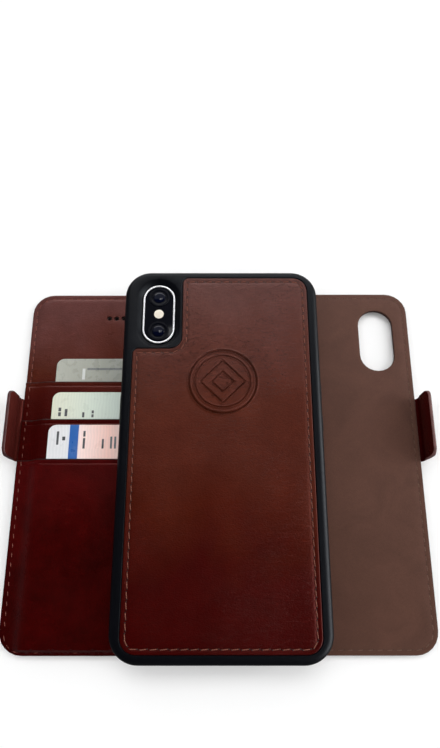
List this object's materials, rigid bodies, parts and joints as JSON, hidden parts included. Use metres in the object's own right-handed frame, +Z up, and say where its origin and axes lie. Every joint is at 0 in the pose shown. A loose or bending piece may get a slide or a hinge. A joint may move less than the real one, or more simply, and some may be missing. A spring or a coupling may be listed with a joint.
{
  "type": "folding phone wallet case",
  "caption": "Leather folio phone wallet lying open, with card pockets, magnetic clasp tabs and a detachable bumper shell that holds a phone.",
  "frame": {"origin": "under the middle of the whole open part, at the level of the surface it lies on", "axes": "+X from the front cover to the back cover, +Y to the top edge of the covers, +Z up out of the inside faces"},
  "size_m": [0.1666, 0.151, 0.018],
  "materials": {
    "outer_leather": "satin",
    "front_inner_leather": "gloss",
    "pocket_leather": "gloss",
    "suede_lining": "matte",
    "shell_leather": "satin",
    "bumper_rubber": "satin",
    "stiffener_board": "matte",
    "shielding_foil": "satin",
    "steel_plate": "brushed",
    "magnet_metal": "satin",
    "phone_metal": "polished",
    "phone_glass": "gloss",
    "lens_glass": "gloss",
    "flash_lamp": "gloss",
    "card_silver": "gloss",
    "card_cream": "gloss",
    "card_white": "gloss"
  },
  "bodies": {
    "back_cover": {"back_outer_skin": "outer_leather", "back_board": "stiffener_board", "back_magnet_upper": "magnet_metal", "back_magnet_lower": "magnet_metal", "back_lining": "suede_lining"},
    "spine": {"spine_outer_skin": "outer_leather", "spine_board": "stiffener_board", "spine_lining": "suede_lining"},
    "front_cover": {"front_outer_skin": "outer_leather", "front_board": "stiffener_board", "front_shielding_foil": "shielding_foil", "front_lining": "front_inner_leather", "card_pocket_1": "front_inner_leather", "card_pocket_2": "front_inner_leather", "card_pocket_3": "pocket_leather"},
    "front_tab": {"front_tab_outer_leather": "outer_leather", "front_tab_magnet": "magnet_metal", "front_tab_inner_leather": "pocket_leather"},
    "back_tab": {"back_tab_outer_leather": "outer_leather", "back_tab_magnet": "magnet_metal", "back_tab_inner_leather": "pocket_leather"},
    "first_card": {"card_1": "card_silver"},
    "second_card": {"card_2": "card_cream"},
    "third_card": {"card_3": "card_white"},
    "shell": {"shell_bumper": "bumper_rubber", "shell_steel_plate_upper": "steel_plate", "shell_steel_plate_lower": "steel_plate", "shell_leather_panel": "shell_leather", "phone_frame": "phone_metal", "phone_screen_glass": "phone_glass", "phone_back_glass": "phone_glass", "phone_camera_ring": "phone_metal", "phone_camera_glass": "phone_glass", "phone_lens_upper": "lens_glass", "phone_lens_lower": "lens_glass", "phone_flash": "flash_lamp"},
    "power_button": {"power_button_cover": "bumper_rubber"},
    "volume_up_button": {"volume_up_button_cover": "bumper_rubber"},
    "volume_down_button": {"volume_down_button_cover": "bumper_rubber"}
  },
  "joints": [
    {"name": "folio_close", "type": "hinge", "parent": "back_cover", "child": "spine", "pos_m": [0.01055, 0, 0.00085], "axis": [0, 1, 0], "range_deg": [0, 90]},
    {"name": "front_cover_fold", "type": "hinge", "parent": "spine", "child": "front_cover", "pos_m": [-0.00825, 0, 0.00085], "axis": [0, 1, 0], "range_deg": [0, 90]},
    {"name": "shell_turn_off", "type": "hinge", "parent": "back_cover", "child": "shell", "pos_m": [0.07, 0, 0.009], "axis": [0, 1, 0], "range_deg": [0, 180]},
    {"name": "front_tab_fold", "type": "hinge", "parent": "front_cover", "child": "front_tab", "pos_m": [-0.0832, 0.013, 0.00085], "axis": [0, -1, 0], "range_deg": [-30, 90]},
    {"name": "back_tab_fold", "type": "hinge", "parent": "back_cover", "child": "back_tab", "pos_m": [0.0832, 0.013, 0.00085], "axis": [0, 1, 0], "range_deg": [-30, 90]},
    {"name": "first_card_slide", "type": "slide", "parent": "front_cover", "child": "first_card", "axis": [0, 1, 0], "range_m": [0, 0.078]},
    {"name": "second_card_slide", "type": "slide", "parent": "front_cover", "child": "second_card", "axis": [0, 1, 0], "range_m": [0, 0.078]},
    {"name": "third_card_slide", "type": "slide", "parent": "front_cover", "child": "third_card", "axis": [0, 1, 0], "range_m": [0, 0.078]},
    {"name": "power_button_press", "type": "slide", "parent": "shell", "child": "power_button", "axis": [1, 0, 0], "range_m": [0, 0.0005], "stiffness_N_per_m": 1500},
    {"name": "volume_up_press", "type": "slide", "parent": "shell", "child": "volume_up_button", "axis": [-1, 0, 0], "range_m": [0, 0.0005], "stiffness_N_per_m": 1500},
    {"name": "volume_down_press", "type": "slide", "parent": "shell", "child": "volume_down_button", "axis": [-1, 0, 0], "range_m": [0, 0.0005], "stiffness_N_per_m": 1500}
  ],
  "couplings": [
    {"joint": "front_cover_fold", "follows": "folio_close", "ratio": 1},
    {"joint": "shell_turn_off", "follows": "folio_close", "ratio": 2}
  ]
}
